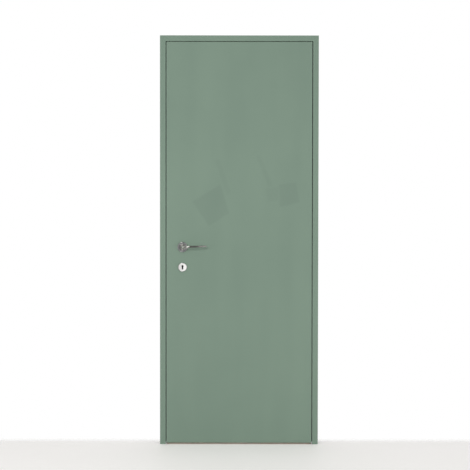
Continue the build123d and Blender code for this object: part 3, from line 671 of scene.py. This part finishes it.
plate_tones = (rgb(168, 167, 164), rgb(196, 195, 191))
plate_gloss = (0.26, 0.4)
brushed_grain = (700.0, 700.0, 12.0)
plate_easing = 0.0003
plastic_tones = (rgb(38, 38, 40), rgb(54, 54, 56))
plastic_gloss = (0.32, 0.46)
flow_scale = 90.0
plastic_scale = 1500.0
plastic_relief = (0.2, 0.00003)

finish_nodes(zinc, "lock_case", "lock_cover", "latch_follower")
brushed_plate = drawn_metal("brushed_plate", plate_tones, plate_gloss, brushed_grain)
eased_copy("lock_faceplate", brushed_plate, plate_easing)
finish_nodes(brushed_plate, "faceplate_screws")
eased_copy("deadbolt", bright_steel)

plastic, tree, shader = new_finish("dark_plastic")
spot = place(tree)
flow = fine_noise(tree, spot, flow_scale, 4.0)
feed(tree, shader, {
    "Base Color": blend(tree, flow, *plastic_tones),
    "Roughness": rise(tree, flow, *noise_core, *plastic_gloss),
    "Normal": bumped(tree, fine_noise(tree, spot, plastic_scale), *plastic_relief),
})
eased_copy("latch_bolt", plastic)


# A dark plate in the lock behind the keyhole, put there as painted shade so that no light shows
# through. It is moulded plastic and sits between the case and its cover.

shade_plate_size = (0.03, 0.007, 0.03)
key_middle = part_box("escutcheon_front")[0].lerp(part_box("escutcheon_front")[1], 0.5)

form = bmesh.new()
bmesh.ops.create_cube(form, size=1.0)
bmesh.ops.scale(form, vec=shade_plate_size, verts=form.verts)
bmesh.ops.translate(form, vec=(key_middle.x, 0, key_middle.z), verts=form.verts)
shade_plate = new_piece("keyhole_shade_plate", form)
shade_plate.data.materials.append(plastic)
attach(shade_plate, body_of["lock_case"])


# The strike in the closing jamb: a brushed steel plate flush with the aluminium, screwed to a
# moulded plastic box, and in the box the magnet that draws the latch bolt out.

eased_copy("strike_plate", brushed_plate, plate_easing)
finish_nodes(brushed_plate, "strike_screws")
eased_copy("strike_box", plastic)
finish_nodes(bright_steel, "strike_magnet")


# The two levers, cast brass, polished and nickel plated, on a square steel spindle that runs
# through the lock. A grub screw from below grips each one.

nickel_tones = (rgb(206, 203, 198), rgb(222, 220, 215))
smear_scale = 38.0
nickel_scale = 1200.0
nickel_relief = (0.08, 0.00003)
lever_gloss = (0.06, 0.12)

touch_marks, inlet, outlet = effect_group(
    "touch_marks",
    [("Low", "NodeSocketFloat", 0.1), ("High", "NodeSocketFloat", 0.2)],
    [("Tone", "NodeSocketFloat"), ("Roughness", "NodeSocketFloat"), ("Normal", "NodeSocketVector")],
)
spot = place(touch_marks)
smear = fine_noise(touch_marks, spot, smear_scale, 5.0)
feed(touch_marks, outlet, {
    "Tone": smear,
    "Roughness": rise(touch_marks, smear, *noise_core, inlet["Low"], inlet["High"]),
    "Normal": bumped(touch_marks, fine_noise(touch_marks, spot, nickel_scale), *nickel_relief),
})


def nickel_finish(name, tones, low, high):
    """Nickel plate, from polished to satin, with the faint marks of hands."""
    made, tree, shader = new_finish(name)
    marks = grouped(tree, touch_marks, Low=low, High=high)
    feed(tree, shader, {
        "Base Color": blend(tree, marks["Tone"], *tones),
        "Roughness": marks["Roughness"],
        "Normal": marks["Normal"],
        "Metallic": 1.0,
    })
    return made


polished_lever = nickel_finish("polished_lever", nickel_tones, *lever_gloss)
finish_nodes(polished_lever, "lever_front", "lever_back")
finish_nodes(zinc, "spindle", "grub_screws")


# The rose round each lever's neck, pressed from thin brass with a slightly crowned face, satin
# nickel plated, and snapped over a cast plate that is screwed to the leaf.

neck_hole = 0.0094
rose_crown = 0.0035
rose_rim = 0.0018
rose_sheet = 0.0015
crown_steps = 8
rim_steps = 4
turn_steps = 96
seam_width = 0.000005
rose_gloss = (0.14, 0.2)
rose_nickel = nickel_finish("satin_rose", nickel_tones, *rose_gloss)


def crowned_rose(name, side):
    """A turned cover: a section from the neck hole over the crown and down the rim, spun round.

    The side is -1 on the door's front and 1 on its back.
    """
    low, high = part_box(name)
    radius = (high.x - low.x) / 2
    height = high.y - low.y
    reach = radius - rose_rim
    stations = [neck_hole + (reach - neck_hole) * step / crown_steps for step in range(crown_steps + 1)]
    outline = [(r, height - rose_crown * (r / radius) ** 2) for r in stations]
    shoulder = outline[-1][1]
    for step in range(1, rim_steps + 1):
        angle = math.radians(90 * step / rim_steps)
        outline.append((reach + rose_rim * math.sin(angle), shoulder - rose_rim * (1 - math.cos(angle))))
    outline.append((radius, 0.0))
    form = bmesh.new()
    corners = [form.verts.new((r, 0, h)) for r, h in outline]
    for first, second in zip(corners, corners[1:]):
        form.edges.new((first, second))
    bmesh.ops.spin(
        form, geom=form.verts[:] + form.edges[:], cent=(0, 0, 0), axis=(0, 0, 1), angle=math.tau,
        steps=turn_steps, use_merge=True,
    )
    bmesh.ops.remove_doubles(form, verts=form.verts, dist=seam_width)
    bmesh.ops.recalc_face_normals(form, faces=form.faces)
    tilt = math.radians(90 if side < 0 else -90)
    foot = high.y if side < 0 else low.y
    bmesh.ops.rotate(form, verts=form.verts, matrix=Matrix.Rotation(tilt, 3, "X"))
    bmesh.ops.translate(form, verts=form.verts, vec=((low.x + high.x) / 2, foot, (low.z + high.z) / 2))
    piece = take_place(name, form, rose_nickel, "crowned")
    wall = piece.modifiers.new("sheet", "SOLIDIFY")
    wall.thickness = rose_sheet
    wall.offset = -1.0


crowned_rose("rose_front", -1)
crowned_rose("rose_back", 1)
cast_gloss = (0.4, 0.55)
cast_grain = (90.0, 90.0, 90.0)
cast_plate = drawn_metal("cast_plate", aluminium_tones, cast_gloss, cast_grain, depth=0.8)
finish_nodes(cast_plate, "rose_plates")


# The keyhole discs, turned from solid brass with a flat face and a soft edge, nickel plated and
# polished bright. The keyhole is cut through with a small bevel round its mouth.

disc_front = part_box("escutcheon_front")[0].y
disc_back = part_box("escutcheon_back")[1].y
disc_tones = (rgb(244, 243, 240), rgb(250, 249, 247))
disc_gloss = (0.03, 0.06)
keyhole_shade_tone = rgb(34, 33, 32)
keyhole_duller = 0.6
keyhole_reach = 0.016
keyhole_fade = 0.001
keyhole_lip = 0.0003
keyhole_bevel = 0.0018
on_face = 0.0001


def disc_finish(name, outer, inward):
    """Polished nickel, with the keyhole's bevel and walls dull and coloured near black as painted shade.
    Inward is as on the boards.
    """
    made, tree, shader = new_finish(name)
    east, north, up = split(tree, place(tree))
    marks = grouped(tree, touch_marks, Low=disc_gloss[0], High=disc_gloss[1])
    across = reckon(tree, "POWER", reckon(tree, "SUBTRACT", east, key_middle.x), 2.0)
    along = reckon(tree, "POWER", reckon(tree, "SUBTRACT", up, key_middle.z), 2.0)
    away = reckon(tree, "SQRT", reckon(tree, "ADD", across, along))
    depth = reckon(tree, "MULTIPLY", reckon(tree, "SUBTRACT", north, outer), inward)
    # Painted shade: the bevel and walls inside the keyhole, past a thin lip, are coloured near black.
    within = rise(tree, away, keyhole_reach, keyhole_reach + keyhole_fade, 1.0, 0.0)
    dark = reckon(tree, "MULTIPLY", within, rise(tree, depth, keyhole_lip / 2, keyhole_lip))
    duller = reckon(tree, "MULTIPLY", dark, keyhole_duller)
    feed(tree, shader, {
        "Base Color": blend(tree, dark, blend(tree, marks["Tone"], *disc_tones), keyhole_shade_tone),
        "Metallic": reckon(tree, "SUBTRACT", 1.0, dark),
        "Roughness": reckon(tree, "ADD", marks["Roughness"], duller),
        "Normal": marks["Normal"],
    })
    return made


def at_mouth(edge, outer):
    """Whether an edge is a sharp one round the keyhole, in the disc's outer face."""
    for corner in edge.verts:
        from_middle = math.hypot(corner.co.x - key_middle.x, corner.co.z - key_middle.z)
        if abs(corner.co.y - outer) >= on_face or from_middle >= keyhole_reach:
            return False
    return len(edge.link_faces) == 2 and edge.calc_face_angle() > easing_angle


def bevelled_disc(name, made, outer):
    """The disc with a bevel round the mouth of its keyhole."""
    form = merged_form(name)
    bmesh.ops.bevel(
        form, geom=[edge for edge in form.edges if at_mouth(edge, outer)], offset=keyhole_bevel,
        offset_type="OFFSET", segments=3, profile=0.5, affect="EDGES", clamp_overlap=False, material=-1,
    )
    take_place(name, form, made, "bevelled")


bevelled_disc("escutcheon_front", disc_finish("polished_front_disc", disc_front, 1.0), disc_front)
bevelled_disc("escutcheon_back", disc_finish("polished_back_disc", disc_back, -1.0), disc_back)
